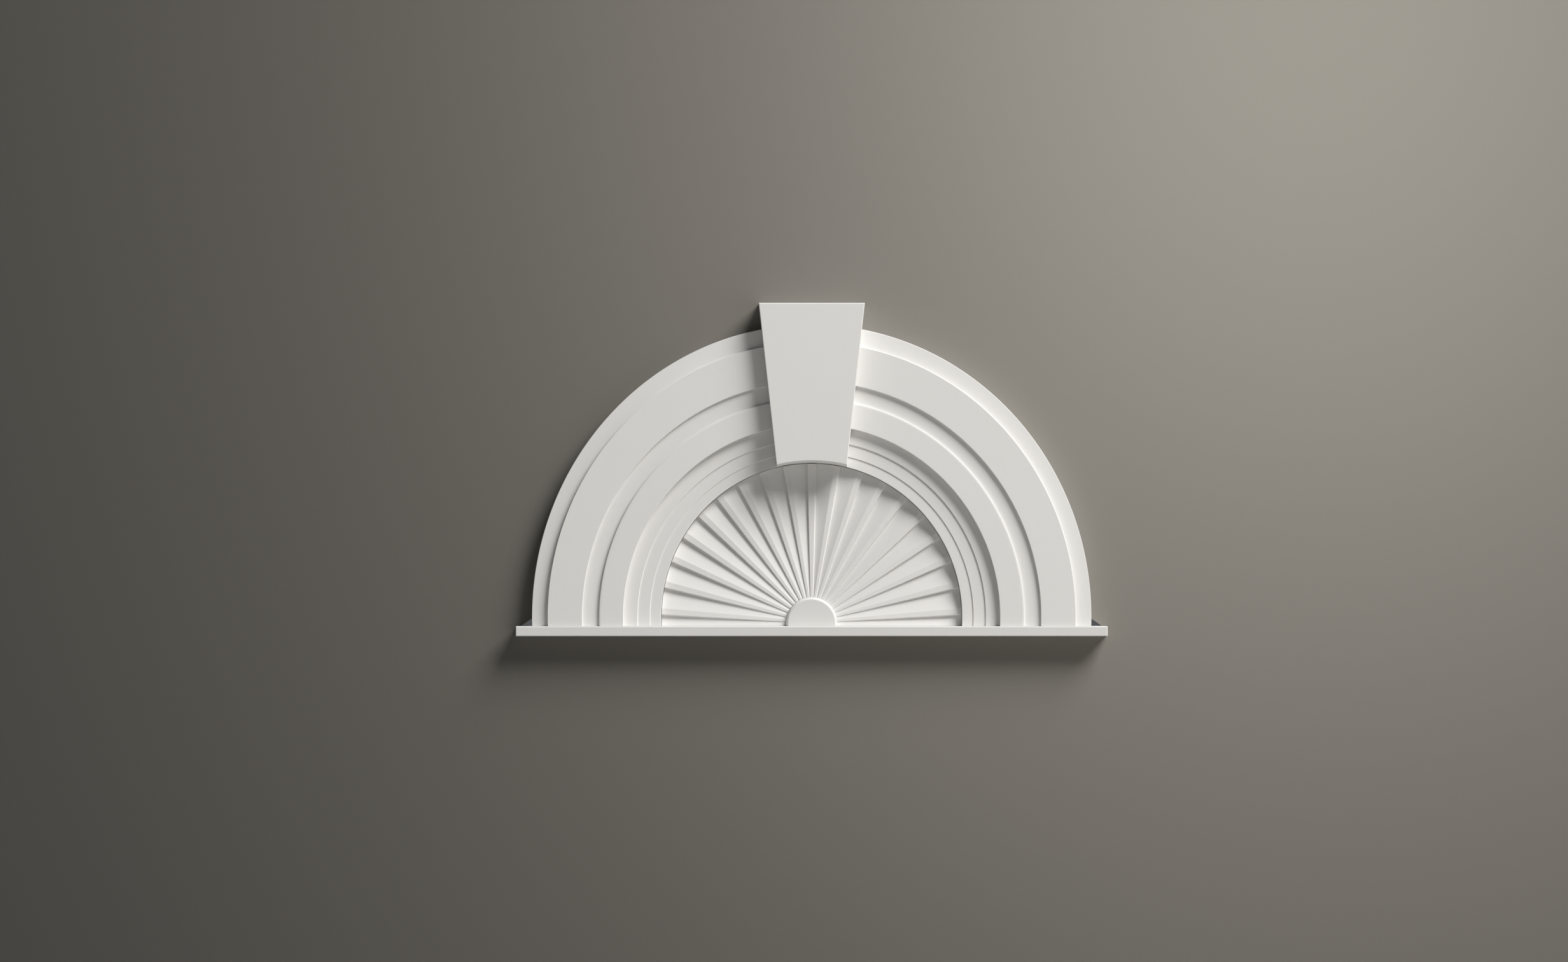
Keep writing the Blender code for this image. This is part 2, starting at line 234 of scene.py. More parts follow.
class PedimentSunburstSizes(bpy.types.PropertyGroup):
    """Sizes of the sunburst panel and its hub"""

    rays: IntProperty(
        name="Rays", description="Rays on each side of the centre rib", default=9, min=1)
    first_turn: FloatProperty(
        name="First Ray", description="Turn of the first ray's wall from the vertical",
        default=math.radians(10.35), subtype="ANGLE")
    first_step: FloatProperty(
        name="First Step", description="Turn from the first ray's wall to the next",
        default=math.radians(8.75), subtype="ANGLE")
    step_growth: FloatProperty(
        name="Step Growth", description="How much each further step is wider",
        default=math.radians(0.229), subtype="ANGLE")
    ray_drop: FloatProperty(
        name="Ray Drop", description="Fall of a wedge below the rays at the opening",
        default=0.0080, unit="LENGTH", precision=4)
    wedge_sag: FloatProperty(
        name="Wedge Sag", description="Sag of a wedge's middle behind a flat one, at the opening",
        default=0.0006, unit="LENGTH", precision=4)
    ray_widths: FloatVectorProperty(
        name="Ray Widths", description="Width of a ray at the hub and at the opening",
        size=2, default=(0.0046, 0.0127), unit="LENGTH", precision=4)
    rib_widths: FloatVectorProperty(
        name="Centre Rib Widths",
        description="Width of the centre rib at the hub and at the opening",
        size=2, default=(0.0053, 0.0170), unit="LENGTH", precision=4)
    drafts: FloatVectorProperty(
        name="Drafts",
        description="Lean of a ray's wall at its foot, at the hub and at the opening",
        size=2, default=(0.0008, 0.0016), unit="LENGTH", precision=4)
    rebate: FloatProperty(
        name="Rebate", description="How far the panel's flange reaches behind the opening's edge",
        default=0.0080, unit="LENGTH", precision=4)
    flange_depth: FloatProperty(
        name="Flange Depth", description="Thickness of the panel's flange",
        default=0.0040, unit="LENGTH", precision=4)
    edge_gap: FloatProperty(
        name="Edge Gap", description="Gap between the panel's carved part and the opening's edge",
        default=0.0010, unit="LENGTH", precision=4)
    hub_height: FloatProperty(
        name="Hub Height", description="Height of the hub's centre above the ledge",
        default=0.0066, unit="LENGTH", precision=4)
    hub_edge: FloatVectorProperty(
        name="Hub Edge", description="Width and depth of the hub's rounded edge",
        size=2, default=(0.0060, 0.0080), unit="LENGTH", precision=4)
    arris: FloatProperty(
        name="Arris", description="How far the softening of a ray's edges reaches",
        default=0.0007, unit="LENGTH", precision=4)


class PedimentFinish(bpy.types.PropertyGroup):
    """Colours and texture of the paint"""

    paint: FloatVectorProperty(
        name="Paint", description="Colour of the matte paint", subtype="COLOR",
        size=3, min=0.0, max=1.0, default=(0.785, 0.780, 0.772))
    back: FloatVectorProperty(
        name="Bare Back", description="Colour of the unpainted back", subtype="COLOR",
        size=3, min=0.0, max=1.0, default=(0.70, 0.665, 0.60))
    roughness: FloatProperty(
        name="Roughness", description="Mean roughness of the paint",
        default=0.52, min=0.0, max=1.0, subtype="FACTOR")
    peel: FloatProperty(
        name="Paint Texture", description="Height of the paint's fine texture",
        default=0.00006, unit="LENGTH", precision=6)


class PedimentStudio(bpy.types.PropertyGroup):
    """Sizes and colours of the studio"""

    floor_drop: FloatProperty(
        name="Floor Drop", description="Height of the ledge's underside above the floor",
        default=1.6, unit="LENGTH")
    floor_colour: FloatVectorProperty(
        name="Floor", description="Colour of the floor", subtype="COLOR",
        size=3, min=0.0, max=1.0, default=(0.56, 0.55, 0.53))
    # The backdrop's two colours are painted light: pale in a painted pool of light at the upper
    # right, fading to near-black painted shade
    backdrop_painted_light: FloatVectorProperty(
        name="Pale Backdrop", description="Colour of the graduated backdrop where it is palest",
        subtype="COLOR", size=3, min=0.0, max=1.0, default=(0.347, 0.327, 0.293))
    backdrop_painted_dark: FloatVectorProperty(
        name="Dark Backdrop", description="Colour that the backdrop fades to",
        subtype="COLOR", size=3, min=0.0, max=1.0, default=(0.004, 0.004, 0.003))
    key_power: FloatProperty(
        name="Key Light", description="Power of the key light in watts",
        default=2030.0, min=0.0)
    fill_strength: FloatProperty(
        name="Fill Light", description="Strength of the even light from all round",
        default=0.09, min=0.0)


# Shapes


def arch_rings(arch, across):
    """Half-width and rise of the rings at the given half-widths.

    Between two mouldings the rise follows the half-width in proportion, and outside the
    arch it grows as fast as the half-width.
    """
    foot = arch.opening[0] + np.cumsum([0.0, *arch.foot_widths])
    crown = arch.opening[1] + np.cumsum([0.0, *arch.crown_widths])
    inside = np.minimum(across - foot[0], 0.0)
    outside = np.maximum(across - foot[-1], 0.0)
    rise = np.interp(across, foot, crown) + inside + outside
    return np.stack([across, rise], axis=-1)


def soften(path, reach):
    """Rounds chosen corners of a closed path, whose last two axes are corners and coordinates.

    A corner P gives way to the parabola (1 - u)^2 A + 2 u (1 - u) P + u^2 B, where A and B lie
    reach from P along its two sides, or at most a share of a side. One more point stands just
    outside A and B, so that a flat side stays flat when shaded smooth. Reach 0 leaves a corner.
    """
    reach = np.asarray(reach, dtype=float)
    ends = []
    for step in (1, -1):
        side = np.roll(path, step, axis=-2) - path
        length = np.linalg.norm(side, axis=-1, keepdims=True)
        ends.append(side / length * np.minimum(reach[:, None], BEND_LIMIT * length))
    u = np.linspace(0, 1, BEND_STEPS + 1)[:, None]
    a, b = (end[..., None, :] for end in ends)
    corner = path[..., None, :]
    bend = corner + (1 - u) ** 2 * a + u**2 * b
    bend = np.concatenate([corner + BEND_GUARD * a, bend, corner + BEND_GUARD * b], axis=-2)
    corners = [bend[..., i, :, :] if far else path[..., i:i + 1, :] for i, far in enumerate(reach)]
    return np.concatenate(corners, axis=-2)


def rounded_front(width, fall, front, steps, guard):
    """Insets and depths of lines from a block's side over its front edge to its flat front.

    The edge is a quarter of an ellipse, inset = width * (1 - cos v) at depth = front - fall *
    (1 - sin v). One more line on each side of it, guard times as far out, keeps the flats flat.
    """
    v = np.linspace(0, math.pi / 2, steps + 1)
    inset = np.concatenate([[0.0], width * (1 - np.cos(v)), [guard * width]])
    depth = np.concatenate([[front - guard * fall], front - fall * (1 - np.sin(v)), [front]])
    return inset, depth


def cove(arch, start, end):
    """Points of the cove between two half-widths, as half-widths and depths.

    It opens with a quarter of an ellipse, w * (1 - cos v) along and h * (1 - sin v) above the
    lowest line, and then rises by the square of the share of the way to the outer fascia.
    """
    width, drop = arch.cove_bend
    v = np.linspace(0, math.pi / 2, COVE_STEPS + 1)[:-1]
    bend = np.column_stack([start + width * (1 - np.cos(v)), drop * (1 - np.sin(v))])
    share = np.linspace(0, 1, COVE_STEPS + 1)
    low = start + width
    floor = np.column_stack([low + (end - low) * share, arch.cove_rise * share**2])
    return np.concatenate([bend, floor]) + [0.0, arch.cove_depth]


def brim(arch, start, end):
    """Points of the brim's shallow slope, with a sag that follows 4 * share * (1 - share)."""
    share = np.linspace(0, 1, COVE_STEPS + 1)
    slope = arch.brim_depth + (arch.rim_depth - arch.brim_depth) * share
    sag = arch.brim_sag * 4 * share * (1 - share)
    return np.column_stack([start + (end - start) * share, slope - sag])


def arch_section(arch, sunburst):
    """Closed section of the arch as half-widths and depths, its corners softened."""
    edges = arch.opening[0] + np.cumsum([0.0, *arch.foot_widths])
    opening, band_c, band_b, band_a, inner_fascia, cove_end, outer_fascia, rim = edges
    c, b, a = arch.band_depths
    inner, outer = arch.inner_fascia_depth, arch.outer_fascia_depth
    rebate = opening + sunburst.rebate
    lip = sunburst.flange_depth + GAP
    soft, tight = arch.arris, arch.crease
    eased, drop = arch.eased_edge
    parts = [
        ([(rebate, 0.0), (rebate, lip), (opening, lip)], [0.0]),
        ([(opening, c)], [soft]),
        ([(band_c, c), (band_c, b), (band_b, b), (band_b, a)], [tight, soft]),
        ([(band_a, a), (band_a, inner)], [tight, soft]),
        ([(inner_fascia - eased, inner), (inner_fascia, inner - drop)], [eased / 3, tight / 2]),
        (cove(arch, inner_fascia, cove_end), [tight] + [0.0] * (2 * COVE_STEPS - 1) + [tight]),
        ([(cove_end, outer), (outer_fascia, outer)], [soft, tight]),
        (brim(arch, outer_fascia, rim), [tight] + [0.0] * (COVE_STEPS - 1) + [soft]),
        ([(rim, 0.0)], [0.0]),
    ]
    corners = np.concatenate([corners for corners, reach in parts])
    reach = np.concatenate([np.resize(reach, len(corners)) for corners, reach in parts])
    return soften(corners, reach)


def keystone_line(arch, keystone):
    """Foot half-width, splay and foot height of the keystone's side, above the ledge."""
    crown = arch.centre_height + arch.opening[1]
    top = KEYSTONE_HIGH.z - LEDGE_HIGH.z
    foot = keystone.foot_width / 2
    return foot, (KEYSTONE_HIGH.x - foot) / (top - crown), crown


def keystone_crossing(rings, arch, keystone, beside):
    """Angle on each ring where it meets a line parallel to the keystone's side.

    The line is x = foot + splay * (z - crown), moved out by beside. With the ring at
    x = a cos t and z = centre + b sin t, a cos t - splay * b sin t is a constant, which is a
    cosine of t turned by atan2(splay * b, a).
    """
    foot, splay, crown = keystone_line(arch, keystone)
    half_width, rise = rings[..., 0], rings[..., 1]
    constant = foot + beside * math.hypot(1, splay) + splay * (arch.centre_height - crown)
    turned = np.arctan2(splay * rise, half_width)
    return np.arccos(constant / np.hypot(half_width, splay * rise)) - turned


def arch_half(arch, keystone, sunburst, side):
    """Half of the arch: its section carried along ellipses from the ledge to the keystone.

    Each point of the section follows x = a cos t, z = centre + b sin t on its own ring, with
    t shared out evenly between the ledge and the keystone's side.
    """
    section = arch_section(arch, sunburst)
    rings = arch_rings(arch, section[:, 0])
    first = np.arcsin((GAP - arch.centre_height) / rings[:, 1])
    last = keystone_crossing(rings, arch, keystone, GAP)
    t = first + (last - first) * np.linspace(0, 1, ARCH_STEPS + 1)[:, None]
    across = side * rings[:, 0] * np.cos(t)
    up = arch.centre_height + rings[:, 1] * np.sin(t)
    return np.stack([across, np.broadcast_to(-section[:, 1], t.shape), up], axis=-1)


def keystone_outlines(arch, keystone, sunburst):
    """Outlines of the keystone from the wall to the front, one for each depth.

    Each outline is a splayed block with a hollow curved underside, which follows the opening
    at the wall and a wider ellipse at the front. The front edges are a quarter turn.
    """
    foot, splay, crown = keystone_line(arch, keystone)
    opening = np.array(arch.opening)
    front = -KEYSTONE_LOW.y
    lip = sunburst.flange_depth + GAP
    inset, depth = rounded_front(keystone.arris, keystone.arris, front,
                                 FRONT_EDGE_STEPS, FRONT_EDGE_GUARD)
    inset = np.concatenate([np.zeros(3), inset])
    depth = np.concatenate([[0.0, lip, lip], depth])
    widen = keystone.undercut * np.clip((depth - lip) / (front - lip), 0, 1) + inset
    widen[:2] = sunburst.rebate
    rings = opening + widen[:, None]
    corner = keystone_crossing(rings, arch, keystone, -inset)
    top = KEYSTONE_HIGH.z - LEDGE_HIGH.z - inset
    reach = foot + splay * (top - crown) - inset * math.hypot(1, splay)
    t = corner[:, None] + (math.pi - 2 * corner[:, None]) * np.linspace(0, 1, SOFFIT_STEPS + 1)
    across = np.column_stack([reach, rings[:, :1] * np.cos(t), -reach])
    up = np.column_stack([top, arch.centre_height + rings[:, 1:] * np.sin(t), top])
    outline = np.stack([across, np.broadcast_to(-depth[:, None], across.shape), up], axis=-1)
    rounding = np.zeros(across.shape[1])
    rounding[[0, 1, -2, -1]] = keystone.arris / 2
    return soften(outline, rounding)


def ring_distance(ring, turn, arch, sunburst):
    """Distance from the hub's centre to an ellipse along a line turned from the vertical.

    It is the positive root of the quadratic that puts the line's point on the ellipse.
    """
    below = sunburst.hub_height - arch.centre_height
    across, up = np.sin(turn), np.cos(turn)
    square = (across / ring[0]) ** 2 + (up / ring[1]) ** 2
    middle = below * up / ring[1] ** 2
    rest = (below / ring[1]) ** 2 - 1
    return (-middle + np.sqrt(middle**2 - square * rest)) / square


def fan_lines(arch, sunburst, seat, edge, ray_depth):
    """Lines over one half of the fan, from the ledge to the centre rib, and their softening.

    A line's row is its turn and depth at the hub and its turn and depth at the opening. A ray
    is a flat strip with a steep lower wall. From its upper edge a wedge falls away to the foot
    of the next ray's wall, in proportion to the distance from the hub, and sags between them
    by 4 * sag * share * (1 - share).
    """
    def moved(turn, hub_width, rim_width):
        reach = ring_distance(edge, turn, arch, sunburst)
        return np.array([turn + hub_width / seat, ray_depth, turn + rim_width / reach, ray_depth])

    def foot(wall):
        reach = ring_distance(edge, wall[2], arch, sunburst)
        fall = sunburst.ray_drop * np.array([seat, reach]) / arch.opening[0]
        hub_draft, rim_draft = sunburst.drafts
        return np.array([wall[0] + hub_draft / seat, ray_depth - fall[0],
                         wall[2] + rim_draft / reach, ray_depth - fall[1]])

    arris = sunburst.arris
    number = np.arange(sunburst.rays + 1)
    turns = (sunburst.first_turn + number * sunburst.first_step
             + number * (number - 1) / 2 * sunburst.step_growth)
    walls = [moved(0.0, sunburst.rib_widths[0] / 2, sunburst.rib_widths[1] / 2)]
    walls += [moved(turn, 0.0, 0.0) for turn in turns]
    uppers = [moved(turn, -sunburst.ray_widths[0], -sunburst.ray_widths[1]) for turn in turns]

    lowest, beyond = foot(walls[-2]), uppers[-1]
    drop = sunburst.hub_height - GAP
    end = math.pi / 2 + np.arcsin(drop / np.array([seat, edge[0]]))
    share = np.minimum(1.0, (end - lowest[::2]) / (beyond - lowest)[::2])
    depth = lowest[1::2] + (beyond - lowest)[1::2] * share
    lines, reach = [np.array([end[0], depth[0], end[1], depth[1]])], [0.0]
    wedge = np.arange(WEDGE_STEPS)[:, None] / WEDGE_STEPS
    sag = 4 * sunburst.wedge_sag / sunburst.ray_drop * wedge * (1 - wedge) * [0, 1, 0, 1]
    for index in range(sunburst.rays - 1, -1, -1):
        start, stop = uppers[index], foot(walls[index])
        slope = start + (stop - start) * (wedge + sag)
        lines += [foot(walls[index + 1]), walls[index + 1], *slope]
        reach += [arris / 2, arris, arris] + [0.0] * (WEDGE_STEPS - 1)
    lines += [foot(walls[0]), walls[0]]
    reach += [arris / 2, arris]
    return np.array(lines), np.array(reach)


def sunburst_sections(arch, sunburst):
    """Sections of the sunburst panel, one for each line of the fan.

    Along a line the surface is P = hub end + v * (rim end - hub end), v from 0 to 1. Across
    the lines the corners are softened, and each section then closes over the thin flange and
    the flat back.
    """
    opening = np.array(arch.opening)
    seat = HUB_HIGH.x + GAP
    edge = opening - sunburst.edge_gap
    half, reach = fan_lines(arch, sunburst, seat, edge, -PANEL_LOW.y)
    lines = np.concatenate([half, half[::-1] * [-1, 1, -1, 1]])
    rim = ring_distance(edge, lines[:, 2], arch, sunburst)
    hub = np.full(len(lines), seat)
    ends = [(hub, lines[:, 0], lines[:, 1]), (rim, lines[:, 2], lines[:, 3])]
    low, high = (np.stack([radius * np.sin(turn), -depth, radius * np.cos(turn)], axis=-1)
                 for radius, turn, depth in ends)
    v = np.linspace(0, 1, RAY_STEPS + 1)[:, None, None]
    sheet = soften(low + v * (high - low), np.concatenate([reach, reach[::-1]]))
    sheet = sheet.transpose(1, 0, 2)

    turn = np.arctan2(sheet[:, -1, 0], sheet[:, -1, 2])
    flange_edge = opening + sunburst.rebate - GAP
    flange = ring_distance(flange_edge, turn, arch, sunburst)
    out = np.stack([flange * np.sin(turn), np.zeros(len(turn)), flange * np.cos(turn)], axis=-1)
    flat = [1.0, 0.0, 1.0]
    thin = np.array([0.0, -sunburst.flange_depth, 0.0])
    closing = np.stack([sheet[:, -1] * flat + thin, out + thin, out], axis=1)
    sections = np.concatenate([sheet[:, :1] * flat, sheet, closing], axis=1)
    sections[..., 2] += sunburst.hub_height

    # The first and last sections lie level on the ledge
    rings = np.array([edge, edge, flange_edge, flange_edge])
    outer = rings[:, 0] * np.sqrt(1 - ((GAP - arch.centre_height) / rings[:, 1]) ** 2)
    for end, side in ((0, 1), (-1, -1)):
        across = np.linspace(sections[end, 1, 0], side * outer[0], RAY_STEPS + 1)
        sections[end, 1:-4, 0] = across[:-1]
        sections[end, -4:, 0] = side * outer
        sections[end, :, 2] = GAP
    return sections


def hub_rings(sunburst):
    """Rings of the hub from the wall to the front, cut flat at the ledge.

    The side is straight and the front edge a quarter of an ellipse. Each ring turns from the
    ledge on one side over the top to the ledge on the other.
    """
    inset, depth = rounded_front(*sunburst.hub_edge, -HUB_LOW.y, HUB_EDGE_STEPS, HUB_EDGE_GUARD)
    radius = HUB_HIGH.x - np.append(0.0, inset)[:, None]
    depth = np.append(0.0, depth)[:, None]
    start = np.arcsin((GAP - sunburst.hub_height) / radius)
    t = start + (math.pi - 2 * start) * np.linspace(0, 1, HUB_STEPS + 1)
    up = sunburst.hub_height + radius * np.sin(t)
    return np.stack([radius * np.cos(t), np.broadcast_to(-depth, t.shape), up], axis=-1)


def ledge_outlines(arris):
    """Outlines of the ledge from the wall to the front, a rectangle that draws in at the front.

    The front edges are a quarter turn, and the corners of each rectangle are softened.
    """
    inset, depth = rounded_front(arris, arris, -LEDGE_LOW.y, FRONT_EDGE_STEPS, FRONT_EDGE_GUARD)
    inset, depth = np.append(0.0, inset), np.append(0.0, depth)
    corners = np.array([(-1, -1), (1, -1), (1, 1), (-1, 1)])
    half = np.array([LEDGE_HIGH.x, (LEDGE_HIGH.z - LEDGE_LOW.z) / 2])
    flat = corners * (half - inset[:, None, None])
    outline = np.stack([flat[..., 0], np.broadcast_to(-depth[:, None], flat.shape[:2]),
                        flat[..., 1] - half[1]], axis=-1)
    return soften(outline, np.full(len(corners), LEDGE_CORNER_SHARE * arris))


def add_object(name, data):
    """Makes an object of a mesh, light or camera and links it to the scene."""
    thing = bpy.data.objects.new(name, data)
    bpy.context.scene.collection.objects.link(thing)
    return thing


def signed_volume(places, quads):
    """Volume of the sides' tetrahedra about their mean place, negative if the faces turn in."""
    a, b, c, d = (places[quads[:, i]] - places.mean(axis=0) for i in range(4))
    first = np.einsum("ij,ij->i", a, np.cross(b, c))
    second = np.einsum("ij,ij->i", a, np.cross(c, d))
    return (first + second).sum() / 6


def new_piece(name, sections, node, material):
    """Makes a closed piece from equal closed sections, joined in order and capped at the ends.

    The sections hold places above the ledge's top. The piece stands for one node.
    """
    count, size = sections.shape[:2]
    places = sections.reshape(-1, 3) + [0.0, 0.0, LEDGE_HIGH.z]
    here = np.arange(count * size).reshape(count, size)
    beside = np.roll(here, -1, axis=1)
    quads = np.stack([here[:-1], beside[:-1], beside[1:], here[1:]], axis=-1).reshape(-1, 4)
    caps = [here[0][::-1], here[-1]]
    if signed_volume(places, quads) < 0:
        quads, caps = quads[:, ::-1], [cap[::-1] for cap in caps]
    mesh = bpy.data.meshes.new(name)
    mesh.from_pydata(places, [], [*quads.tolist(), *(cap.tolist() for cap in caps)])
    mesh.shade_smooth()
    mesh.set_sharp_from_angle(angle=SHARP_ANGLE)
    mesh.materials.append(material)
    piece = add_object(name, mesh)
    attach(piece, BODY)
    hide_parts(node)


# Materials


def feed(tree, socket, value):
    """Links a socket to another one, or sets it to a plain value."""
    if isinstance(value, bpy.types.NodeSocket):
        tree.links.new(value, socket)
    else:
        socket.default_value = value


def add_node(tree, kind, **inputs):
    """Adds a shader node and feeds its inputs, given by name."""
    node = tree.nodes.new(kind)
    for label, value in inputs.items():
        feed(tree, node.inputs[label], value)
    return node


def add_group(tree, name, **inputs):
    """Adds a node for a node group and feeds its inputs, given by name."""
    node = tree.nodes.new("ShaderNodeGroup")
    node.node_tree = bpy.data.node_groups[name]
    for label, value in inputs.items():
        feed(tree, node.inputs[label], value)
    return node


def math_node(tree, operation, first, second):
    """Adds a Math node on two values or sockets and gives its output."""
    node = tree.nodes.new("ShaderNodeMath")
    node.operation = operation
    feed(tree, node.inputs[0], first)
    feed(tree, node.inputs[1], second)
    return node.outputs[0]


def mix_colour(tree, share, first, second):
    """Adds a Mix node for colours and gives its output."""
    node = tree.nodes.new("ShaderNodeMix")
    node.data_type = "RGBA"
    feed(tree, node.inputs["Factor"], share)
    feed(tree, node.inputs[6], first)
    feed(tree, node.inputs[7], second)
    return node.outputs[2]


def scaled(colour, factor):
    """A colour with full alpha, its red, green and blue times one factor or one each."""
    return (*(np.array(colour) * factor).tolist(), 1.0)


def new_material(name):
    """Makes a node material and gives it with its tree, shader and Object coordinates."""
    material = bpy.data.materials.new(name)
    material.use_nodes = True
    tree = material.node_tree
    vector = tree.nodes.new("ShaderNodeTexCoord").outputs["Object"]
    return material, tree, tree.nodes["Principled BSDF"], vector


def new_group(name, inputs, outputs):
    """Makes an empty shader node group, with the name and kind of each input and output."""
    tree = bpy.data.node_groups.new(name, "ShaderNodeTree")
    for in_out, sockets in (("INPUT", inputs), ("OUTPUT", outputs)):
        for label, kind in sockets.items():
            tree.interface.new_socket(label, in_out=in_out, socket_type=kind)
    return tree, tree.nodes.new("NodeGroupInput").outputs, tree.nodes.new("NodeGroupOutput").inputs


def mottle_group():
    """Group: cloudy patches and fine specks that shift a colour and a roughness a little."""
    tree, into, out = new_group(
        "mottle",
        {"Vector": "NodeSocketVector", "Color": "NodeSocketColor", "Shade": "NodeSocketColor",
         "Amount": "NodeSocketFloat", "Roughness": "NodeSocketFloat", "Spread": "NodeSocketFloat"},
        {"Color": "NodeSocketColor", "Roughness": "NodeSocketFloat"})
    clouds = add_node(tree, "ShaderNodeTexNoise", Vector=into["Vector"], Scale=CLOUD_SCALE,
                      Detail=4.0, Roughness=0.55)
    specks = add_node(tree, "ShaderNodeTexNoise", Vector=into["Vector"], Scale=SPECK_SCALE,
                      Detail=3.0, Roughness=0.6)
    both = math_node(tree, "ADD", math_node(tree, "MULTIPLY", clouds.outputs[0], CLOUD_SHARE),
                     math_node(tree, "MULTIPLY", specks.outputs[0], 1 - CLOUD_SHARE))
    share = math_node(tree, "MULTIPLY", both, into["Amount"])
    about_zero = math_node(tree, "SUBTRACT", both, 0.5)
    swing = math_node(tree, "MULTIPLY", about_zero, into["Spread"])
    feed(tree, out["Color"], mix_colour(tree, share, into["Color"], into["Shade"]))
    feed(tree, out["Roughness"], math_node(tree, "ADD", into["Roughness"], swing))


def peel_group():
    """Group: height of a sprayed paint's fine orange peel over faint hand-rubbed waves."""
    tree, into, out = new_group(
        "paint_peel", {"Vector": "NodeSocketVector"}, {"Height": "NodeSocketFloat"})
    peel, waves = (add_node(tree, "ShaderNodeTexNoise", Vector=into["Vector"], Scale=scale,
                            Detail=2.0, Roughness=0.5) for scale in (PEEL_SCALE, WAVE_SCALE))
    raised = math_node(tree, "MULTIPLY", waves.outputs[0], WAVE_HEIGHT)
    feed(tree, out["Height"], math_node(tree, "ADD", peel.outputs[0], raised))


def back_group():
    """Group: mask of the flat back, and the height of its open cut-foam pores."""
    tree, into, out = new_group(
        "bare_back", {"Vector": "NodeSocketVector"},
        {"Mask": "NodeSocketFloat", "Pores": "NodeSocketFloat"})
    place = add_node(tree, "ShaderNodeSeparateXYZ", Vector=into["Vector"])
    pores = add_node(tree, "ShaderNodeTexVoronoi", Vector=into["Vector"], Scale=PORE_SCALE)
    mask = math_node(tree, "GREATER_THAN", place.outputs["Y"], -BACK_MARGIN)
    feed(tree, out["Mask"], mask)
    feed(tree, out["Pores"], pores.outputs["Distance"])


def paint_material(name, finish, painted_shade_factor=1.0):
    """Matte off-white paint with faint mottling and orange peel, and a bare back. A factor below 1
    darkens the paint as painted shade.
    """
    material, tree, shader, vector = new_material(name)
    # The factor darkens the paint colour itself: painted shade, a darker copy of the same paint
    paint = scaled(finish.paint, painted_shade_factor)
    mottle = add_group(tree, "mottle", Vector=vector, Color=paint,
                       Shade=scaled(paint[:3], MOTTLE_SHADE), Amount=MOTTLE_AMOUNT,
                       Roughness=finish.roughness, Spread=ROUGHNESS_SPREAD)
    peel = add_group(tree, "paint_peel", Vector=vector)
    back = add_group(tree, "bare_back", Vector=vector)
    bare = mix_colour(tree, back.outputs["Pores"], scaled(finish.back, 1.0),
                      scaled(finish.back, PORE_SHADE))
    colour = mix_colour(tree, back.outputs["Mask"], mottle.outputs["Color"], bare)
    pores = math_node(tree, "MULTIPLY", back.outputs["Pores"],
                      math_node(tree, "MULTIPLY", back.outputs["Mask"], PORE_HEIGHT))
    height = math_node(tree, "ADD", peel.outputs["Height"], pores)
    bump = add_node(tree, "ShaderNodeBump", Height=height, Strength=1.0, Distance=finish.peel)
    feed(tree, shader.inputs["Base Color"], colour)
    feed(tree, shader.inputs["Roughness"], mottle.outputs["Roughness"])
    feed(tree, shader.inputs["Normal"], bump.outputs["Normal"])
    return material


def get_paint(name, finish, painted_shade_factor=1.0):
    """The named paint, made with its node groups the first time it is asked for."""
    makers = {"mottle": mottle_group, "paint_peel": peel_group, "bare_back": back_group}
    for group_name, make in makers.items():
        if group_name not in bpy.data.node_groups:
            make()
    return bpy.data.materials.get(name) or paint_material(name, finish, painted_shade_factor)


# Operators


class PEDIMENT_OT_arch(bpy.types.Operator):
    """Make both halves of the arch"""

    bl_idname = "pediment.arch"
    bl_label = "Make Arch"

    def execute(self, context):
        props = context.scene
        paint = get_paint("arch_paint", props.pediment_finish)
        for name, node, side in (("arch_half_left", "arch_left", -1),
                                 ("arch_half_right", "arch_right", 1)):
            sections = arch_half(props.pediment_arch, props.pediment_keystone,
                                 props.pediment_sunburst, side)
            new_piece(name, sections, node, paint)
        return {"FINISHED"}


class PEDIMENT_OT_keystone(bpy.types.Operator):
    """Make the keystone"""

    bl_idname = "pediment.keystone"
    bl_label = "Make Keystone"

    def execute(self, context):
        props = context.scene
        paint = get_paint("keystone_paint", props.pediment_finish)
        sections = keystone_outlines(props.pediment_arch, props.pediment_keystone,
                                     props.pediment_sunburst)
        new_piece("keystone_block", sections, "keystone", paint)
        return {"FINISHED"}


class PEDIMENT_OT_sunburst(bpy.types.Operator):
    """Make the sunburst panel with its rays"""

    bl_idname = "pediment.sunburst"
    bl_label = "Make Sunburst"

    def execute(self, context):
        props = context.scene
        paint = get_paint("sunburst_paint", props.pediment_finish)
        sections = sunburst_sections(props.pediment_arch, props.pediment_sunburst)
        new_piece("sunburst_rays", sections, "sunburst_panel", paint)
        return {"FINISHED"}


class PEDIMENT_OT_hub(bpy.types.Operator):
    """Make the hub of the sunburst"""

    bl_idname = "pediment.hub"
    bl_label = "Make Hub"

    def execute(self, context):
        props = context.scene
        # The hub's paint is darkened as painted shade, taking down the bounce light it catches from
        # the ledge
        paint = get_paint("hub_paint_shaded", props.pediment_finish, painted_shade_factor=HUB_PAINTED_SHADE)
        sections = hub_rings(props.pediment_sunburst)
        new_piece("half_round_hub", sections, "sunburst_hub", paint)
        return {"FINISHED"}


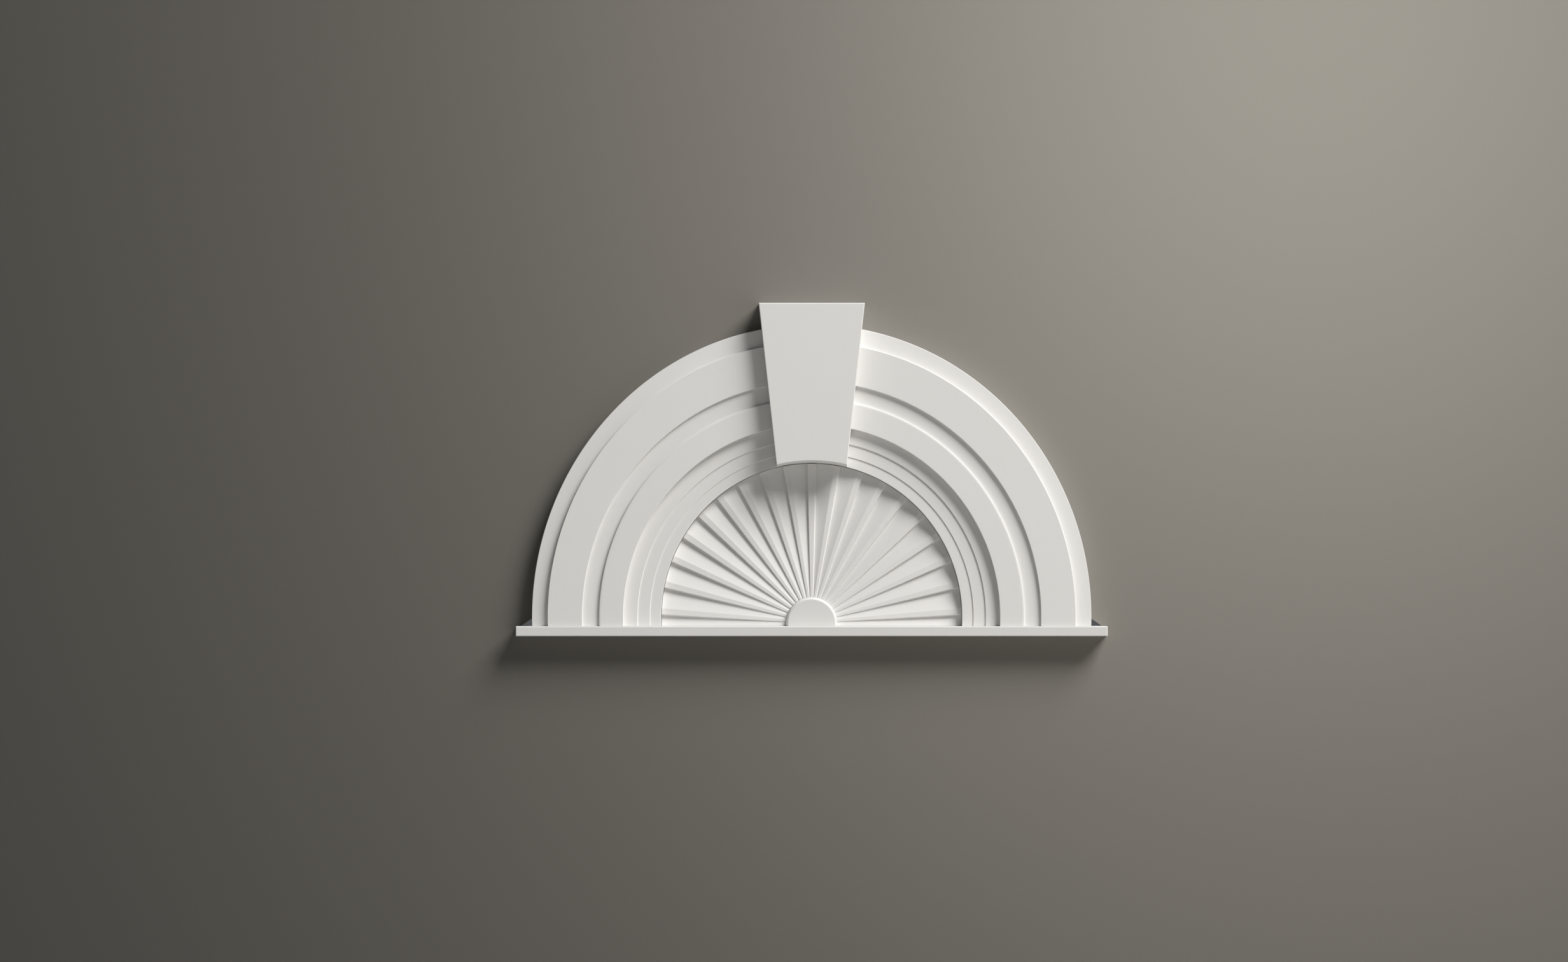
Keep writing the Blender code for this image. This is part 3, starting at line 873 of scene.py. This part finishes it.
class PEDIMENT_OT_ledge(bpy.types.Operator):
    """Make the ledge"""

    bl_idname = "pediment.ledge"
    bl_label = "Make Ledge"

    def execute(self, context):
        props = context.scene
        # The ledge's paint is darkened as painted shade, so the same paint looks less lit
        paint = get_paint("ledge_paint_shaded", props.pediment_finish, painted_shade_factor=LEDGE_PAINTED_SHADE)
        sections = ledge_outlines(props.pediment_keystone.arris)
        new_piece("ledge_board", sections, "base_ledge", paint)
        return {"FINISHED"}


class PEDIMENT_OT_studio(bpy.types.Operator):
    """Make the floor, the backdrop, the lights and the camera"""

    bl_idname = "pediment.studio"
    bl_label = "Make Studio"

    def execute(self, context):
        studio = context.scene.pediment_studio
        make_floor(studio)
        make_backdrop(context.scene.pediment_arch, studio)
        make_lights(studio)
        make_camera()
        return {"FINISHED"}


# Studio


def floor_material(studio):
    """A pale matte floor with a faint grain."""
    material, tree, shader, vector = new_material("floor_paint")
    shader.inputs["Roughness"].default_value = FLOOR_ROUGHNESS
    grain = add_node(tree, "ShaderNodeTexNoise", Vector=vector, Scale=FLOOR_GRAIN_SCALE, Detail=6.0)
    colour = mix_colour(tree, grain.outputs[0], scaled(studio.floor_colour, 1 - FLOOR_GRAIN),
                        scaled(studio.floor_colour, 1 + FLOOR_GRAIN))
    feed(tree, shader.inputs["Base Color"], colour)
    return material


def backdrop_material(studio):
    """A matte backdrop, clear from behind, with a painted pool of light that fades away from one
    place.

    With r the distance from that place over the pool's reach, sideways and upwards, the share
    of the painted light's colour is 1 / (1 + r^2)^power; the rest is painted shade.
    """
    material, tree, shader, vector = new_material("backdrop_cloth")
    shader.inputs["Roughness"].default_value = BACKDROP_ROUGHNESS
    place = add_node(tree, "ShaderNodeSeparateXYZ", Vector=vector)
    squares = []
    for axis, centre, reach in (("X", *LIGHT_POOL_ACROSS), ("Z", *LIGHT_POOL_UP)):
        offset = math_node(tree, "SUBTRACT", place.outputs[axis], centre)
        squares.append(math_node(tree, "POWER", math_node(tree, "DIVIDE", offset, reach), 2.0))
    apart = math_node(tree, "ADD", math_node(tree, "ADD", *squares), 1.0)
    share = math_node(tree, "POWER", apart, -LIGHT_POOL_POWER)
    # Painted light: the pale colour near the pool's centre, fading to the dark one as painted shade
    colour = mix_colour(tree, share, scaled(studio.backdrop_painted_dark, 1.0),
                        scaled(studio.backdrop_painted_light, 1.0))
    feed(tree, shader.inputs["Base Color"], colour)
    mix = tree.nodes.new("ShaderNodeMixShader")
    sides = (tree.nodes.new("ShaderNodeNewGeometry").outputs["Backfacing"], shader.outputs[0],
             tree.nodes.new("ShaderNodeBsdfTransparent").outputs[0])
    for socket, value in zip(mix.inputs, sides):
        feed(tree, socket, value)
    feed(tree, tree.nodes["Material Output"].inputs["Surface"], mix.outputs[0])
    return material


def stage_piece(name, places, faces, material):
    """Makes a flat stage piece from its corners and faces."""
    mesh = bpy.data.meshes.new(name)
    mesh.from_pydata(places, [], faces)
    mesh.materials.append(material)
    piece = add_object(name, mesh)


def make_floor(studio):
    """A level square floor under the pediment."""
    low = CAD_LOW.z - studio.floor_drop
    corners = [(-1, -1), (1, -1), (1, 1), (-1, 1)]
    places = [(STUDIO_HALF_WIDTH * x, STUDIO_HALF_WIDTH * y, low) for x, y in corners]
    stage_piece("floor", places, [(0, 1, 2, 3)], floor_material(studio))


def backdrop_window(arch):
    """Corners of the backdrop's window, across and up, from the ledge's right end to its left.

    The window follows the outline of the pediment's back a little inside it.
    """
    inset = WINDOW_INSET
    half_width = arch.opening[0] + sum(arch.foot_widths) - inset
    rise = arch.opening[1] + sum(arch.crown_widths) - inset
    keystone = KEYSTONE_HIGH.x - 2 * inset
    t = np.linspace(0, math.acos(keystone / half_width), WINDOW_STEPS + 1)
    up = LEDGE_HIGH.z + arch.centre_height + rise * np.sin(t)
    end = LEDGE_HIGH.x - inset
    right = np.concatenate([
        [(end, LEDGE_LOW.z + inset), (end, LEDGE_HIGH.z - inset)],
        np.column_stack([half_width * np.cos(t), up]),
        [(keystone, KEYSTONE_HIGH.z - inset)],
    ])
    return np.concatenate([right, right[::-1] * [-1, 1]])


def make_backdrop(arch, studio):
    """An upright backdrop close behind the pediment, with a window hidden by its back.

    The window lets light from behind reach the back. Each of its corners is joined to the
    place on a large rectangle that lies straight out from the middle of the ledge's top, and
    its two lowest corners to the rectangle's lower corners.
    """
    window = backdrop_window(arch)
    below = CAD_LOW.z - studio.floor_drop - LEDGE_HIGH.z
    heading = window - [0.0, LEDGE_HIGH.z + WINDOW_INSET]
    heading[[0, -1], 1] = heading[0, 0] * below / STUDIO_HALF_WIDTH
    limit_up = np.where(heading[:, 1] > 0, BACKDROP_TOP, below) / heading[:, 1]
    limit_across = STUDIO_HALF_WIDTH / np.abs(heading[:, 0])
    outer = heading * np.minimum(limit_across, limit_up)[:, None] + [0.0, LEDGE_HIGH.z]
    across, up = np.concatenate([window, outer]).T
    places = np.column_stack([across, np.full(len(across), BACKDROP_GAP), up])
    count = len(window)
    here = np.arange(count)
    beside = (here + 1) % count
    faces = np.stack([here, here + count, beside + count, beside], axis=-1)
    stage_piece("backdrop", places.tolist(), faces.tolist(), backdrop_material(studio))


def add_light(name, direction, distance, width, power, colour):
    """A round area light that looks at the pediment's middle and isn't seen by the camera."""
    light = bpy.data.lights.new(name, "AREA")
    light.shape = "DISK"
    light.size = width
    light.energy = power
    light.color = colour
    middle = (CAD_LOW + CAD_HIGH) / 2
    lamp = add_object(name, light)
    lamp.location = middle + direction.normalized() * distance
    lamp.rotation_mode = "QUATERNION"
    lamp.rotation_quaternion = (middle - lamp.location).to_track_quat("-Z", "Y")
    lamp.visible_camera = False


def make_lights(studio):
    """A large soft key light from the upper right, a weak one from behind and an even fill."""
    add_light("key_light", KEY_DIRECTION, KEY_DISTANCE, KEY_WIDTH, studio.key_power, KEY_COLOUR)
    add_light("rear_light", REAR_DIRECTION, REAR_DISTANCE, REAR_WIDTH,
              studio.key_power * REAR_SHARE, REAR_COLOUR)
    world = bpy.data.worlds.new("studio")
    world.use_nodes = True
    sky = world.node_tree.nodes["Background"]
    sky.inputs["Color"].default_value = FILL_COLOUR
    sky.inputs["Strength"].default_value = studio.fill_strength
    bpy.context.scene.world = world


def make_camera():
    """The camera straight in front, placed so that the object falls where the photo has it."""
    distance = CAMERA_LENS * PHOTO_SIZE[0] * METRES_PER_PIXEL / SENSOR_WIDTH
    across = (PHOTO_SIZE[0] / 2 - PHOTO_OBJECT_CENTRE) * METRES_PER_PIXEL
    up = CAD_LOW.z + (PHOTO_LEDGE_BOTTOM - PHOTO_SIZE[1] / 2) * METRES_PER_PIXEL
    data = bpy.data.cameras.new("camera")
    data.lens = CAMERA_LENS
    data.sensor_width = SENSOR_WIDTH
    data.clip_end = CAMERA_REACH
    camera = add_object("camera", data)
    camera.location = (across, SCALE_PLANE - distance, up)
    camera.rotation_euler = (math.pi / 2, 0.0, 0.0)
    bpy.context.scene.camera = camera
    bpy.context.scene.view_settings.view_transform = "Standard"


# Sidebar and registration


class PEDIMENT_PT_sidebar(bpy.types.Panel):
    """Lists the pieces of the pediment"""

    bl_idname = "PEDIMENT_PT_sidebar"
    bl_label = "Sunburst Pediment"
    bl_space_type = "VIEW_3D"
    bl_region_type = "UI"
    bl_category = "Pediment"

    def draw(self, context):
        for operator in OPERATORS:
            self.layout.operator(operator.bl_idname)


PROPERTIES = {
    "pediment_arch": PedimentArchSizes,
    "pediment_keystone": PedimentKeystoneSizes,
    "pediment_sunburst": PedimentSunburstSizes,
    "pediment_finish": PedimentFinish,
    "pediment_studio": PedimentStudio,
}
OPERATORS = (
    PEDIMENT_OT_arch,
    PEDIMENT_OT_keystone,
    PEDIMENT_OT_sunburst,
    PEDIMENT_OT_hub,
    PEDIMENT_OT_ledge,
    PEDIMENT_OT_studio,
)


def register():
    for name, group in PROPERTIES.items():
        bpy.utils.register_class(group)
        setattr(bpy.types.Scene, name, PointerProperty(type=group))
    for operator in (*OPERATORS, PEDIMENT_PT_sidebar):
        bpy.utils.register_class(operator)


def unregister():
    for operator in reversed((*OPERATORS, PEDIMENT_PT_sidebar)):
        bpy.utils.unregister_class(operator)
    for name, group in reversed(PROPERTIES.items()):
        delattr(bpy.types.Scene, name)
        bpy.utils.unregister_class(group)


def main():
    register()
    for operator in (
        bpy.ops.pediment.arch,
        bpy.ops.pediment.keystone,
        bpy.ops.pediment.sunburst,
        bpy.ops.pediment.hub,
        bpy.ops.pediment.ledge,
        bpy.ops.pediment.studio,
    ):
        operator()


if __name__ == "__main__":
    main()
